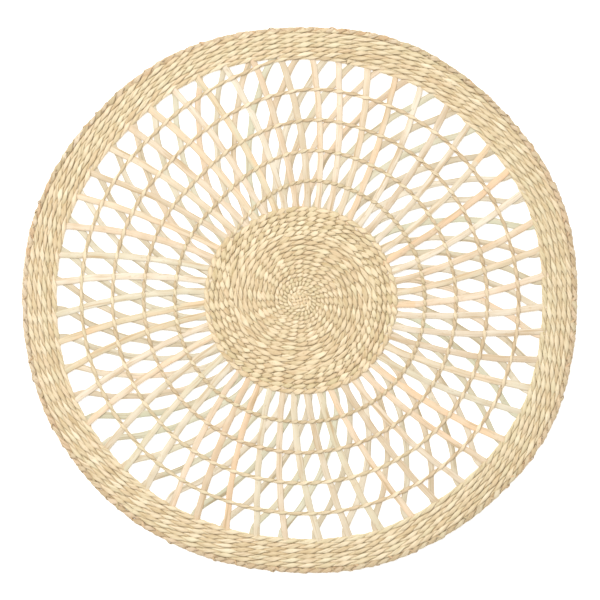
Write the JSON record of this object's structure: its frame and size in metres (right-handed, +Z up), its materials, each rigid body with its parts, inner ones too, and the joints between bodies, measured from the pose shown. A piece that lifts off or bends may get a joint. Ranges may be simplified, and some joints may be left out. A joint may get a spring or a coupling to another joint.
{
  "type": "seagrass placemat",
  "caption": "Round flat placemat twined from natural seagrass, with a close-woven centre and rim and an openwork ring of crossing strips between them.",
  "frame": {"origin": "middle of the underside, on the surface that the mat lies on", "axes": "+Z up out of the table, +Y towards the top of the mat as seen from above, +X to the right"},
  "size_m": [0.3806, 0.3749, 0.004],
  "materials": {
    "centre_straw": "close-twined dried seagrass, pale straw, matt with a slight sheen along the fibre",
    "strip_straw": "flat dried seagrass strips, pale straw to peach and grey-green, satin",
    "rim_straw": "close-twined dried seagrass, pale straw, matt with a slight sheen along the fibre",
    "edge_straw": "plaited dried seagrass, light brown, matt"
  },
  "bodies": {
    "root": {"woven_centre": "centre_straw", "openwork": "strip_straw", "rim_band": "rim_straw", "edge_plait": "edge_straw"}
  },
  "joints": []
}
